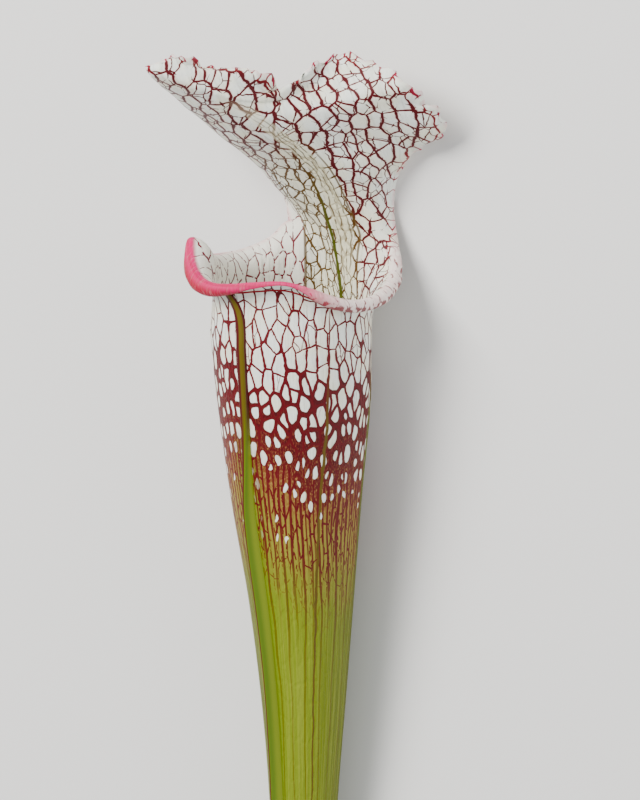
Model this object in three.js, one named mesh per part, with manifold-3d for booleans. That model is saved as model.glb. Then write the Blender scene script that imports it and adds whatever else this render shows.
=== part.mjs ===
// White-topped pitcher: one pitcher leaf, cut at its base and lying on a surface.
// Millimetres. The leaf is laid out as it grew, then turned until it lies down.
// As it grew: y runs up the tube with 0 at the mouth, x and z cross it.
// The spout and the wing are at the front. Angles round the tube start at its back,
// where the midrib is, and grow towards the near side.

import * as THREE from 'three';
import Module from 'manifold-3d';
import { mergeVertices } from 'three/addons/utils/BufferGeometryUtils.js';

// Driving dimensions
const wall = 0.9;                    // thickness of the leaf tissue
const frontTurn = 42;                // degrees from +z to the front, towards -x
const cutEnd = -395;                 // height of the cut base
const hollowEnd = -322;              // the tube is solid below this
const throatStart = -7;              // the wall starts to flare into the mouth here
const rimTop = 14;                   // degrees that the wall still climbs at the rim's crest

// The tube: height, radius, and the centre's x and z
const tube = [
  [cutEnd, 4.6, -6, 1],
  [-375, 4.2, -4.5, 0.6],
  [-300, 5.0, -0.5, -0.6],
  [-240, 6.4, 2.2, -0.8],
  [-190, 8.2, 3.6, -0.6],
  [-151, 10.2, 4, -0.3],
  [-121, 12.5, 4, 0],
  [-90, 15.5, 3.3, 0],
  [-59, 19.2, 1.9, 0],
  [-28, 22.6, 1.2, 0],
  [throatStart, 23.7, 0.3, 0],
];

// The mouth's crest, once round: angle, radius, height
const crest = [
  [-41, 25.6, 21.5],
  [-55, 24.6, 16.6],
  [-73, 24.8, 13.8],
  [-90, 25, 13.4],
  [-112, 26, 15],
  [-136, 28.1, 20.6],
  [-156, 28.6, 17.2],
  [-180, 28.4, 13.8],
  [-197, 26.6, 14.3],
  [-218, 26.2, 15.4],
  [-234, 26.2, 13],
  [-255, 26.4, 8.2],
  [-272, 26.8, 6.6],
  [-292, 28, 7],
  [-306, 28.9, 8.6],
  [-317, 30.2, 11],
  [-338, 25, 15],
  [-360, 20, 18],
  [-381, 22, 20.2],
];
const cornerFar = -41;               // where the crest turns up into the column
const cornerNear = 43;

// The column and hood, from the neck to the tip. Each row crosses the blade:
// far margin, far fold, midrib, near half, near margin
const hood = [
  [[-0.8, 27, -27.5], [3.8, 26.6, -19.5], [11.6, 25.5, -12.6], [24.6, 22.5, -9.8], [30.6, 18.6, -8.6]],
  [[-4, 32.5, -30.5], [-2.6, 33, -18], [8.6, 34.5, -8.4], [23.4, 33, -8.6], [30.2, 29.6, -14.5]],
  [[-8.5, 37.5, -32.5], [-8.2, 41, -14], [4.4, 42.6, -3.6], [23.4, 42.4, -5.2], [32.2, 40.6, -12.5]],
  [[-13, 42, -34], [-13.2, 46.3, -10], [-2.1, 50, 2], [22, 50.5, -3], [38.8, 48.3, -7]],
  [[-18, 46, -34], [-17.6, 50.3, -6.5], [-5.5, 52.7, 4], [22, 55.6, 0], [43.8, 53.4, -4]],
  [[-22.5, 50.4, -33], [-21.5, 54.3, -4], [-8.4, 55.4, 6], [18.6, 59.6, 3], [41, 61.4, 3]],
  [[-27, 54.6, -31], [-25, 57.8, -1.5], [-12, 58.6, 8], [12.5, 62.6, 5], [35.6, 68.6, 6]],
  [[-31, 58.8, -28], [-28.4, 61, 1], [-15.6, 61.9, 10], [6.5, 64.6, 4], [27.2, 73, 0]],
  [[-34.4, 62.8, -23.5], [-31.2, 64, 3.4], [-20, 65, 12], [0.5, 65.2, 4.4], [14.6, 76.8, -3.6]],
  [[-36.6, 66, -17], [-34, 66.8, 5.6], [-24.9, 68, 13.5], [-6.6, 65.8, 8.6], [3.6, 73.4, 2]],
  [[-38, 68.6, -9.5], [-36.4, 69, 8], [-29, 70, 14.5], [-14, 68, 11.4], [-2.6, 70.6, 6.6]],
  [[-38.8, 70.6, -1.5], [-38.2, 71, 10], [-33, 72.3, 15.2], [-20, 71.8, 12.6], [-9.4, 74.4, 8]],
  [[-39.8, 72.3, 6], [-39.8, 72.9, 12], [-36.8, 74.2, 15.2], [-28.5, 75.4, 14], [-21.5, 75.4, 9]],
  [[-41.6, 74.2, 11.6], [-41, 74.8, 13.6], [-39.6, 75.6, 14.8], [-36, 77.2, 14.6], [-31.4, 80, 13]],
];
const hoodTip = [-42.8, 76.4, 13.4];
// The margins ruffle: wave height, waves per row, a second wave, and where it starts and ends
const ruffle = {
  height: 1.2, perRow: 0.43, second: 0.45, secondPace: 0.57, farLag: 1.3,
  along: [0.3, 0.4, 0.87], from: 0.5, firstRows: [2.5, 5], lastRows: [13, 15],
};

// The midrib up the middle of the back: how far it stands out of the two faces of the blade,
// the heights on the tube between which it rises, and the rows of the hood where it fades
const midrib = { outside: 0.55, inside: 0.3, rises: [-36, -10], fades: [8, 14] };

// The rolled rim: angle, roll radius, degrees it turns
const rimRoll = [
  [-400, 1.9, 110],
  [-317, 1.9, 120],
  [-304, 1.8, 150],
  [-285, 1.6, 180],
  [-255, 1.7, 190],
  [-215, 2.0, 195],
  [-180, 2.7, 215],
  [-150, 2.7, 215],
  [-110, 2.0, 190],
  [-70, 1.8, 170],
  [-52, 1.7, 130],
  [-41, 1.7, 110],
];
// The same on the hood's margins: row, radius, degrees
const hoodRoll = [
  [0, 1.9, 115],
  [1, 2.0, 105],
  [2, 2.2, 90],
  [3, 2.6, 60],
  [4, 3.4, 26],
  [15, 3, 20],
];

// The wing down the front: height, how far its edge stands out of the tube
const wing = [
  [-372, 0.5],
  [-350, 2.2],
  [-290, 4.0],
  [-180, 4.4],
  [-90, 4.6],
  [-60, 3.6],
  [-30, 1.6],
  [0, 0.8],
  [6, 0.5],
];
const wingRoot = 1.9;                // thickness at the wall
const wingEdge = 0.9;                // thickness at its free edge
const wingSink = 0.15;               // depth of its root in the wall

// How it lies: turns about x and y from the pose it grew in, and the depth of its flat spots
const layTilt = 4.08;
const layRoll = 25.02;
const flatSpot = 0.25;

// How finely it is divided
const backColumns = 22;
const frontColumns = 42;
const throatRows = 5;
const hoodRows = 32;
const rollRows = 5;
const evenings = 4;
const tubeRows = [-14, -22, -32];    // full rings, above the change to half as many columns
const lowRings = 22;
const baseRows = [-338, -356, -375, -386, cutEnd];
const wingStep = 9;

// A smooth curve through the rows of a table, which are sorted by their first number
function through(table) {
  const up = table[0][0] < table[table.length - 1][0];
  const rows = up ? table : [...table].reverse();
  const slope = (i, k) => {
    const a = rows[Math.max(i - 1, 0)];
    const b = rows[Math.min(i + 1, rows.length - 1)];
    return (b[k] - a[k]) / (b[0] - a[0]);
  };
  return (x) => {
    let i = 0;
    while (i < rows.length - 2 && rows[i + 1][0] < x) i += 1;
    const span = rows[i + 1][0] - rows[i][0];
    const t = Math.min(Math.max((x - rows[i][0]) / span, 0), 1);
    return rows[i].slice(1).map((from, n) => {
      const k = n + 1;
      const to = rows[i + 1][k];
      return from * (1 + 2 * t) * (1 - t) ** 2 + to * t * t * (3 - 2 * t)
        + slope(i, k) * span * t * (1 - t) ** 2 - slope(i + 1, k) * span * t * t * (1 - t);
    });
  };
}

const radians = THREE.MathUtils.degToRad;
const tubeAt = through(tube);
const crestAt = through([...crest.slice(-5).map(([a, r, h]) => [a + 360, r, h]), ...crest]);
const rimRollAt = through(rimRoll);
const hoodRollAt = through(hoodRoll);
const wingAt = through(wing);

// Level direction out of the tube at an angle from its back
function outward(angle) {
  const turn = radians(frontTurn + angle);
  return new THREE.Vector3(Math.sin(turn), 0, -Math.cos(turn));
}

function tubeCentre(height) {
  const [, x, z] = tubeAt(height);
  return new THREE.Vector3(x, height, z);
}

function tubePoint(angle, height) {
  return tubeCentre(height).addScaledVector(outward(angle), tubeAt(height)[0]);
}

function crestPoint(angle) {
  const [radius, height] = crestAt(angle);
  return outward(angle).multiplyScalar(radius).setY(height);
}

// Columns run up the leaf: first the back, from the far corner to the near one,
// then the front, on round to the far corner again
const columns = backColumns + frontColumns;
function columnAngle(j) {
  if (j <= backColumns) return cornerFar + (cornerNear - cornerFar) * j / backColumns;
  return cornerNear - 360 + (cornerFar - cornerNear + 360) * (j - backColumns) / frontColumns;
}

// A point of the hood's table: row from 1 up, across from -1 (far) to 1 (near)
function hoodRowPoint(row, across) {
  const points = hood[row - 1].map((p) => new THREE.Vector3(...p));
  return new THREE.CatmullRomCurve3(points).getPoint((across + 1) / 2);
}

const smooth = THREE.MathUtils.smoothstep;

// The blade's column at a place across it, as a curve from the tube to the tip
const bladeCurves = new Map();
function bladeCurve(j) {
  if (!bladeCurves.has(j)) {
    const across = 2 * j / backColumns - 1;
    const angle = columnAngle(j);
    const points = [tubePoint(angle, throatStart), crestPoint(angle)];
    for (let row = 1; row <= hood.length; row += 1) points.push(hoodRowPoint(row, across));
    points.push(new THREE.Vector3(...hoodTip));
    bladeCurves.set(j, new THREE.CatmullRomCurve3(points));
  }
  return bladeCurves.get(j);
}

// The blade at a column and a row of the table, with the ruffle of its margins
function bladePoint(j, row) {
  const curve = bladeCurve(j);
  const t = (row + 1) / (hood.length + 2);
  const point = curve.getPoint(t);
  const across = 2 * j / backColumns - 1;
  const tall = ruffle.height * smooth(Math.abs(across), ruffle.from, 1)
    * smooth(row, ...ruffle.firstRows) * (1 - smooth(row, ...ruffle.lastRows));
  const phase = 2 * Math.PI * ruffle.perRow * row + (across > 0 ? 0 : ruffle.farLag);
  const wave = Math.sin(phase) + ruffle.second * Math.sin(phase * ruffle.secondPace + 1);
  return point.addScaledVector(new THREE.Vector3(...ruffle.along), tall * wave);
}

// The wall flaring up into the crest at a column: step from 0 to 1
function throatPoint(j, step) {
  const angle = columnAngle(j);
  const from = tubePoint(angle, throatStart);
  const to = crestPoint(angle);
  const reach = from.distanceTo(to);
  const level = outward(angle).multiplyScalar(Math.cos(radians(rimTop)))
    .setY(Math.sin(radians(rimTop)));
  const beyond = Math.min(Math.abs(angle - cornerFar), Math.abs(angle - cornerNear + 360));
  const flared = outward(angle).multiplyScalar(0.8).setY(0.6);
  let leave = flared.clone().lerp(level, smooth(beyond, 0, 25)).normalize();
  if (j <= backColumns) {
    const across = Math.abs(2 * j / backColumns - 1);
    leave = bladeCurve(j).getTangent(1 / (hood.length + 2));
    leave.lerp(flared, smooth(across, 0.5, 1)).normalize();
  }
  const t = step;
  return new THREE.Vector3()
    .addScaledVector(from, (1 + 2 * t) * (1 - t) ** 2)
    .addScaledVector(new THREE.Vector3(0, 1, 0), reach * t * (1 - t) ** 2)
    .addScaledVector(to, t * t * (3 - 2 * t))
    .addScaledVector(leave, -reach * t * t * (1 - t));
}

// The middle of the leaf tissue, as points and triangles
function middleSheet() {
  const points = [];
  const triangles = [];
  const raised = [];                 // how fully the midrib stands up at each point
  const add = (point, rib = 0) => {
    raised.push(rib);
    return points.push(point) - 1;
  };
  const onMidrib = (j, strength) => (j === backColumns / 2 ? strength : 0);
  const quad = (a, b, c, d) => triangles.push([a, c, b], [a, d, c]);
  const joinRings = (low, high, closed) => {
    const count = closed ? low.length : low.length - 1;
    for (let j = 0; j < count; j += 1) {
      const k = (j + 1) % low.length;
      quad(low[j], low[k], high[k], high[j]);
    }
  };

  // Half as many columns low down
  const lowTop = tubeRows[tubeRows.length - 1] - 10;
  let ring = null;
  let bottom = null;
  for (let i = 0; i <= lowRings; i += 1) {
    const height = hollowEnd + (lowTop - hollowEnd) * (i / lowRings) ** 0.92;
    const next = [];
    for (let j = 0; j < columns; j += 2) next.push(add(tubePoint(columnAngle(j), height)));
    if (ring) joinRings(ring, next, true);
    else bottom = next;
    ring = next;
  }
  const heights = [...tubeRows].reverse().concat(throatStart);
  heights.forEach((height, i) => {
    const next = [];
    const rib = smooth(height, ...midrib.rises);
    for (let j = 0; j < columns; j += 1) {
      next.push(add(tubePoint(columnAngle(j), height), onMidrib(j, rib)));
    }
    if (i > 0) joinRings(ring, next, true);
    else {
      for (let j = 0; j < ring.length; j += 1) {
        const k = (j + 1) % ring.length;
        const mid = next[2 * j + 1];
        triangles.push([ring[j], next[2 * j], mid], [ring[j], mid, ring[k]],
          [ring[k], mid, next[2 * k]]);
      }
    }
    ring = next;
  });
  for (let i = 1; i <= throatRows; i += 1) {
    const next = [];
    for (let j = 0; j < columns; j += 1) {
      next.push(add(throatPoint(j, i / throatRows), onMidrib(j, 1)));
    }
    joinRings(ring, next, true);
    ring = next;
  }
  const mouth = ring;

  // The column and hood stand on the back of the mouth
  let row = mouth.slice(0, backColumns + 1);
  const farSide = [];
  const nearSide = [];
  for (let i = 1; i < hoodRows; i += 1) {
    const next = [];
    const at = (hood.length + 1) * i / hoodRows;
    const rib = 1 - smooth(at, ...midrib.fades);
    for (let j = 0; j <= backColumns; j += 1) next.push(add(bladePoint(j, at), onMidrib(j, rib)));
    joinRings(row, next, false);
    farSide.push({ id: next[0], row: at });
    nearSide.push({ id: next[backColumns], row: at });
    row = next;
  }
  const tip = add(new THREE.Vector3(...hoodTip));
  for (let j = 0; j < backColumns; j += 1) triangles.push([row[j], tip, row[j + 1]]);

  // The margin once round: the mouth's front, then up the far side, the tip, down the near side
  const margin = [];
  for (let j = backColumns + 1; j < columns; j += 1) {
    margin.push({ id: mouth[j], roll: rimRollAt(columnAngle(j)) });
  }
  margin.push({ id: mouth[0], roll: hoodRollAt(0) });
  farSide.forEach((p) => margin.push({ id: p.id, roll: hoodRollAt(p.row) }));
  margin.push({ id: tip, roll: hoodRollAt(hood.length + 1) });
  [...nearSide].reverse().forEach((p) => margin.push({ id: p.id, roll: hoodRollAt(p.row) }));
  margin.push({ id: mouth[backColumns], roll: hoodRollAt(0) });
  return { points, triangles, raised, bottom, margin };
}

function vertexNormals(points, triangles) {
  const normals = points.map(() => new THREE.Vector3());
  for (const [a, b, c] of triangles) {
    const normal = new THREE.Vector3().subVectors(points[b], points[a])
      .cross(new THREE.Vector3().subVectors(points[c], points[a]));
    for (const id of [a, b, c]) normals[id].add(normal);
  }
  return normals.map((n) => n.normalize());
}

// Rolls the margin outward and back, row by row, and returns its last row
function rollMargin(sheet) {
  const { points, triangles, raised, margin } = sheet;
  const normals = vertexNormals(points, triangles);
  const count = margin.length;
  const away = margin.map(({ id }, i) => {
    const before = points[margin[(i + count - 1) % count].id];
    const after = points[margin[(i + 1) % count].id];
    const along = new THREE.Vector3().subVectors(after, before).normalize();
    return new THREE.Vector3().crossVectors(along, normals[id]).normalize();
  });
  // Evened along the margin, so that the roll turns the corners of the mouth without a break
  let evened = away;
  let facing = margin.map(({ id }) => normals[id]);
  const even = (list) => list.map((v, i) => new THREE.Vector3().copy(v).multiplyScalar(2)
    .add(list[(i + 1) % count]).add(list[(i + count - 1) % count]).normalize());
  for (let pass = 0; pass < evenings; pass += 1) {
    evened = even(evened);
    facing = even(facing);
  }
  let last = margin.map((m) => m.id);
  for (let k = 1; k <= rollRows; k += 1) {
    const next = margin.map(({ id, roll: [radius, turn] }, i) => {
      const angle = radians(turn) * k / rollRows;
      raised.push(0);
      return points.push(new THREE.Vector3().copy(points[id])
        .addScaledVector(evened[i], radius * Math.sin(angle))
        .addScaledVector(facing[i], radius * (1 - Math.cos(angle)))) - 1;
    });
    for (let i = 0; i < count; i += 1) {
      const j = (i + 1) % count;
      triangles.push([last[i], next[j], last[j]], [last[i], next[i], next[j]]);
    }
    last = next;
  }
  return last;
}

// The leaf tissue: both faces of the sheet, joined round its edge, with a solid base
function leafTissue() {
  const sheet = middleSheet();
  const edge = rollMargin(sheet);
  const { points, triangles, raised, bottom } = sheet;
  const normals = vertexNormals(points, triangles);
  const count = points.length;
  const outer = points.map((p, i) => new THREE.Vector3().copy(p)
    .addScaledVector(normals[i], wall / 2 + midrib.outside * raised[i]));
  const inner = points.map((p, i) => new THREE.Vector3().copy(p)
    .addScaledVector(normals[i], -wall / 2 - midrib.inside * raised[i]));
  const all = [...outer, ...inner];
  const faces = [];
  for (const [a, b, c] of triangles) faces.push([a, b, c], [a + count, c + count, b + count]);
  for (let i = 0; i < edge.length; i += 1) {
    const a = edge[i];
    const b = edge[(i + 1) % edge.length];
    faces.push([a, a + count, b + count], [a, b + count, b]);
  }
  // The hollow closes in a short cone, and the base runs on solid to the cut
  const floor = all.push(tubeCentre(hollowEnd - 8)) - 1;
  const ends = bottom.length;
  for (let j = 0; j < ends; j += 1) {
    faces.push([bottom[(j + 1) % ends] + count, bottom[j] + count, floor]);
  }
  let ring = bottom;
  for (const height of baseRows) {
    const next = bottom.map((id, j) => all.push(
      tubePoint(columnAngle(2 * j), height)
        .addScaledVector(outward(columnAngle(2 * j)), wall / 2)) - 1);
    for (let j = 0; j < ends; j += 1) {
      const k = (j + 1) % ends;
      faces.push([next[j], ring[k], next[k]], [next[j], ring[j], ring[k]]);
    }
    ring = next;
  }
  const middle = all.push(tubeCentre(cutEnd)) - 1;
  for (let j = 0; j < ends; j += 1) faces.push([ring[j], ring[(j + 1) % ends], middle]);
  return solidGeometry(all, faces);
}

// The wing: a narrow blade down the front, its root sunk into the wall
function wingBlade() {
  const heights = [];
  for (let y = wing[0][0]; y < wing[wing.length - 1][0]; y += wingStep) heights.push(y);
  heights.push(wing[wing.length - 1][0]);
  const side = outward(270);
  const all = [];
  const faces = [];
  let section = null;
  for (const height of heights) {
    const root = tubeCentre(height).addScaledVector(outward(180), tubeAt(height)[0] - wingSink);
    const tip = tubeCentre(height)
      .addScaledVector(outward(180), tubeAt(height)[0] + wall / 2 + wingAt(height)[0]);
    const next = [[root, -wingRoot], [root, wingRoot], [tip, wingEdge], [tip, -wingEdge]]
      .map(([p, width]) => all.push(new THREE.Vector3().copy(p).addScaledVector(side, width / 2)) - 1);
    if (section) {
      for (let i = 0; i < 4; i += 1) {
        const k = (i + 1) % 4;
        faces.push([section[i], section[k], next[k]], [section[i], next[k], next[i]]);
      }
    } else faces.push([next[0], next[2], next[1]], [next[0], next[3], next[2]]);
    section = next;
  }
  faces.push([section[0], section[1], section[2]], [section[0], section[2], section[3]]);
  return solidGeometry(all, faces);
}

function solidGeometry(all, faces) {
  const geometry = new THREE.BufferGeometry();
  geometry.setAttribute('position', new THREE.Float32BufferAttribute(all.flatMap((p) => p.toArray()), 3));
  geometry.setIndex(faces.flat());
  return geometry;
}

const wasm = await Module();
wasm.setup();

function solid(geometry) {
  const merged = mergeVertices(geometry, 1e-4);
  return new wasm.Manifold(new wasm.Mesh({
    numProp: 3,
    vertProperties: merged.attributes.position.array,
    triVerts: new Uint32Array(merged.index.array),
  }));
}

function geometryOf(manifold) {
  const { vertProperties, triVerts } = manifold.getMesh();
  const geometry = new THREE.BufferGeometry();
  geometry.setAttribute('position', new THREE.BufferAttribute(new Float32Array(vertProperties), 3));
  geometry.setIndex(new THREE.BufferAttribute(new Uint32Array(triVerts), 1));
  return geometry;
}

// Turned to lie on its far margins, then cut a little flat where it touches
function layDown(grown) {
  const turned = geometryOf(grown);
  turned.applyMatrix4(new THREE.Matrix4().makeRotationX(radians(layTilt)));
  turned.applyMatrix4(new THREE.Matrix4().makeRotationY(radians(layRoll)));
  turned.computeBoundingBox();
  const box = turned.boundingBox;
  const centre = box.getCenter(new THREE.Vector3());
  turned.translate(-centre.x, -centre.y, -box.min.z - flatSpot);
  const size = box.getSize(new THREE.Vector3());
  const below = new THREE.BoxGeometry(size.x * 2, size.y * 2, 20).translate(0, 0, -10);
  below.deleteAttribute('normal');
  below.deleteAttribute('uv');
  return geometryOf(solid(turned).subtract(solid(below)));
}

const grown = solid(leafTissue()).add(solid(wingBlade()));
const geometry = layDown(grown);
geometry.computeVertexNormals();

const leafMaterial = new THREE.MeshStandardMaterial({ color: 0xb9b08a, roughness: 0.55, metalness: 0 });
const leaf = new THREE.Mesh(geometry, leafMaterial);
leaf.name = 'pitcher_leaf';

const plant = new THREE.Group();
plant.add(leaf);

export default plant;
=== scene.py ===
import heapq
import math
import random
from functools import reduce
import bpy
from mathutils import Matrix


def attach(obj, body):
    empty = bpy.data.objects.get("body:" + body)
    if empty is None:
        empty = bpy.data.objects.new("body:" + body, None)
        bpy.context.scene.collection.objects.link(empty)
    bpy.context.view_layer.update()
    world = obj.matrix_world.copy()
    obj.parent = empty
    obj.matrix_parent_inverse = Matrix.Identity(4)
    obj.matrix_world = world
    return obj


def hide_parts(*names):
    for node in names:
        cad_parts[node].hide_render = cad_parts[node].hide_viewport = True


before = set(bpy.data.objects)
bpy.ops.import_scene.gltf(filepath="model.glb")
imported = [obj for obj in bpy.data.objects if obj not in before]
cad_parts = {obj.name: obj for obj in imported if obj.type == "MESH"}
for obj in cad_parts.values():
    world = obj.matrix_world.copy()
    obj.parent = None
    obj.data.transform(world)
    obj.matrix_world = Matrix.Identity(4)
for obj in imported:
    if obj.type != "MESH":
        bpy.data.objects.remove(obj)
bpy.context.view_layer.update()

from types import SimpleNamespace

import bmesh
import bpy
import numpy as np
from mathutils import Matrix, Vector, noise

mm = 0.001

# A cut pitcher leaf of a white-topped pitcher plant, shaped as it grew, in mm: y runs up the tube
# with 0 at the mouth, angles start at its back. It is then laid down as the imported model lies.

leafShape = {
    "wall": 0.9,  # thickness of the tissue
    "frontTurn": 42,  # degrees from +z to the front, towards -x
    "cutEnd": -395,
    "throatStart": -7,
    "rimTop": 14,  # degrees that the wall still climbs at the crest
    "cornerFar": -41,  # where the crest turns up into the column
    "cornerNear": 43,
    # height, radius, centre x, centre z
    "tube": [
        (-395, 4.6, -6, 1), (-375, 4.2, -4.5, 0.6), (-300, 5.0, -0.5, -0.6), (-240, 6.4, 2.2, -0.8),
        (-190, 8.2, 3.6, -0.6), (-151, 10.2, 4, -0.3), (-121, 12.5, 4, 0), (-90, 15.5, 3.3, 0),
        (-59, 19.2, 1.9, 0), (-28, 22.6, 1.2, 0), (-7, 23.7, 0.3, 0),
    ],
    # angle, radius, height
    "crest": [
        (-41, 25.6, 21.5), (-55, 24.6, 16.6), (-73, 24.8, 13.8), (-90, 25, 13.4), (-112, 26, 15),
        (-136, 28.7, 22.2), (-146, 29.3, 17.4), (-158, 29.3, 13.2), (-170, 28.8, 11.9),
        (-184, 27.8, 12.4), (-197, 26.6, 13.3), (-218, 26.2, 14), (-234, 26.2, 12.1),
        (-255, 26.4, 8.2), (-272, 26.8, 6.6), (-292, 28, 7), (-306, 28.9, 8.6), (-317, 30.2, 11),
        (-338, 25, 15), (-360, 20, 18), (-381, 22, 20.2),
    ],
    # each row crosses the blade: far margin, far fold, midrib, near half, near margin
    "hood": [
        ((-0.8, 27, -27.5), (3.8, 26.6, -19.5), (11.6, 25.5, -12.6), (24.6, 22.5, -9.8), (30.6, 18.6, -8.6)),
        ((-4, 32.5, -30.5), (-2.6, 33, -18), (8.6, 34.5, -8.4), (23.4, 33, -8.6), (30.2, 29.6, -14.5)),
        ((-8.5, 37.5, -32.5), (-8.2, 41, -14), (4.4, 42.6, -3.6), (23.4, 42.4, -5.2), (32.2, 40.6, -12.5)),
        ((-13, 42, -34), (-13.2, 46.3, -10), (-2.1, 50, 2), (22, 50.5, -3), (38.8, 48.3, -7)),
        ((-18, 46, -34), (-17.6, 50.3, -6.5), (-5.5, 52.7, 4), (22, 55.6, 0), (44, 52.4, -4)),
        ((-22.5, 50.4, -33), (-21.5, 54.3, -4), (-8.4, 55.4, 6), (18.6, 59.6, 3), (41.2, 62.6, 3)),
        ((-27, 54.6, -31), (-25, 57.8, -1.5), (-12, 58.6, 8), (12.5, 62.6, 5), (35, 68.2, 6)),
        ((-31, 58.8, -28), (-28.4, 61, 1), (-15.6, 61.9, 10), (6.5, 64.6, 4), (26.6, 72.6, 0)),
        ((-34.4, 62.8, -23.5), (-31.2, 64, 3.4), (-20, 65, 12), (0.5, 65.2, 4.4), (14.6, 76, -3.6)),
        ((-36.6, 66, -17), (-34, 66.8, 5.6), (-24.9, 68, 13.5), (-6.6, 65.4, 8.6), (4.6, 71.4, 2)),
        ((-38, 68.6, -9.5), (-36.4, 69, 8), (-29, 70, 14.5), (-14, 67.4, 11.4), (-2, 67.4, 6.6)),
        ((-38.8, 70.6, -1.5), (-38.2, 71, 10), (-33, 72.3, 15.2), (-20, 71.2, 12.6), (-9, 72.6, 8)),
        ((-39.8, 72.3, 6), (-39.8, 72.9, 12), (-36.8, 74.2, 15.2), (-28.5, 74.8, 14), (-21.5, 74, 9)),
        ((-40.8, 73.6, 11.6), (-40.2, 74.2, 13.6), (-38.8, 75.2, 14.8), (-35.6, 76.8, 14.6),
         (-31.6, 78.6, 13)),
    ],
    "hoodTip": (-41.6, 75.4, 13.4),
    # The margins' ruffle, its second wave, how far the far side lags, and the rows of the hood
    # between which it grows and dies away
    "ruffleHeight": 1.2, "rufflePace": 0.43, "ruffleSecond": 0.45, "ruffleSecondPace": 0.57,
    "ruffleLag": 1.3, "ruffleAlong": (0.3, 0.4, 0.87),
    "ruffleFrom": 0.5, "ruffleGrows": (2.5, 5), "ruffleDies": (13, 15),
    # Fine crinkle of the hood's margins: to both faces, in and out, and where it grows and calms
    "crinkle": 1.0, "bite": 1.7, "crinkleWidth": 6, "crinkleGrows": (32, 44),
    "crinkleCalms": (33, 41), "crinkleCalm": 0.7,
    "pressed": 0.02,  # what is left of it where the leaf lies on it
    # angle, roll radius, degrees
    "rimRoll": [
        (-400, 1.9, 110), (-317, 1.9, 120), (-304, 1.8, 150), (-285, 1.5, 180), (-255, 1.5, 190),
        (-241, 1.4, 175), (-231, 0.8, 140), (-222, 0.6, 115), (-209, 0.7, 120), (-196, 0.85, 150),
        (-182, 1.25, 195), (-168, 1.8, 210), (-152, 2.1, 215), (-136, 1.1, 205), (-110, 1.3, 190),
        (-70, 1.5, 170), (-52, 1.5, 130), (-41, 1.7, 110),
    ],
    # row, roll radius, degrees
    "hoodRoll": [(0, 1.9, 115), (1, 1.8, 105), (2, 1.6, 85), (3, 1.5, 60), (4, 1.4, 45), (15, 1.2, 40)],
    # The midrib: how far it stands out of each face, its width, and its ends
    "ribOutside": 0.55, "ribInside": 0.3, "ribWidth": 1.3, "ribEnds": 6,
    "ribRises": (-40, -5), "ribFades": (60, 105), "ribMapFrom": -60,
    # How the wall leaves the crest beside the column, and for how many degrees
    "cornerOut": 0.8, "cornerUp": 0.6, "cornerSpan": 25,
    # How finely it is divided
    "backColumns": 66, "frontColumns": 96, "tubeRows": 110, "throatRows": 14,
    "hoodRows": 120, "rollRows": 7, "evenings": 40, "capRows": 4, "rowCrowding": 0.8,
    "farthest": 40,  # mm from the margin or the midrib that are told apart
}

layDown = {"tilt": 4.08, "roll": 25.02, "place": (-1.09, 157.2, 26.81)}
layMatrix = (Matrix.Translation(Vector(layDown["place"]) * mm)
             @ Matrix.Rotation(math.radians(layDown["roll"]), 4, "Y")
             @ Matrix.Rotation(math.radians(layDown["tilt"]), 4, "X")
             @ Matrix.Scale(mm, 4))

shape = SimpleNamespace(**leafShape)


def smooth(value, low, high):
    t = min(max((value - low) / (high - low), 0), 1)
    return t * t * (3 - 2 * t)


# A smooth curve through the rows of a table, sorted by their first number
def through(table):
    rows = sorted(table)

    def slope(i, k):
        a, b = rows[max(i - 1, 0)], rows[min(i + 1, len(rows) - 1)]
        return (b[k] - a[k]) / (b[0] - a[0])

    def at(x):
        i = 0
        while i < len(rows) - 2 and rows[i + 1][0] < x:
            i += 1
        span = rows[i + 1][0] - rows[i][0]
        t = min(max((x - rows[i][0]) / span, 0), 1)
        return [rows[i][k] * (1 + 2 * t) * (1 - t) ** 2 + rows[i + 1][k] * t * t * (3 - 2 * t)
                + slope(i, k) * span * t * (1 - t) ** 2 - slope(i + 1, k) * span * t * t * (1 - t)
                for k in range(1, len(rows[0]))]
    return at


# A centripetal curve through points, with one equal step of t for each span
def splineThrough(points):
    points = [Vector(p) for p in points]
    padded = [points[0] * 2 - points[1]] + points + [points[-1] * 2 - points[-2]]

    def at(t):
        place = min(max(t, 0), 1) * (len(points) - 1)
        i = min(int(place), len(points) - 2)
        w = place - i
        a, b, c, d = padded[i:i + 4]
        gapA, gapB, gapC = (max((q - p).length_squared, 1e-8) ** 0.25 for p, q in ((a, b), (b, c), (c, d)))
        leave = ((b - a) / gapA - (c - a) / (gapA + gapB) + (c - b) / gapB) * gapB
        arrive = ((c - b) / gapB - (d - b) / (gapB + gapC) + (d - c) / gapC) * gapB
        return (b + leave * w + (3 * (c - b) - 2 * leave - arrive) * w * w
                + (2 * (b - c) + leave + arrive) * w ** 3)
    return at


tubeAt = through(shape.tube)
crestAt = through(shape.crest + [(a + 360, r, h) for a, r, h in shape.crest[-5:]])
rimRollAt = through(shape.rimRoll)
hoodRollAt = through(shape.hoodRoll)


def outward(angle):
    turn = math.radians(shape.frontTurn + angle)
    return Vector((math.sin(turn), 0, -math.cos(turn)))


def tubePoint(angle, height):
    radius, x, z = tubeAt(height)
    return Vector((x, height, z)) + outward(angle) * radius


def crestPoint(angle):
    radius, height = crestAt(angle)
    return outward(angle) * radius + Vector((0, height, 0))


def columnAngle(j):
    far, near = shape.cornerFar, shape.cornerNear
    back, front = shape.backColumns, shape.frontColumns
    if j <= back:
        return far + (near - far) * j / back
    return near - 360 + (far - near + 360) * (j - back) / front


bladeCurves = {}


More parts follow.
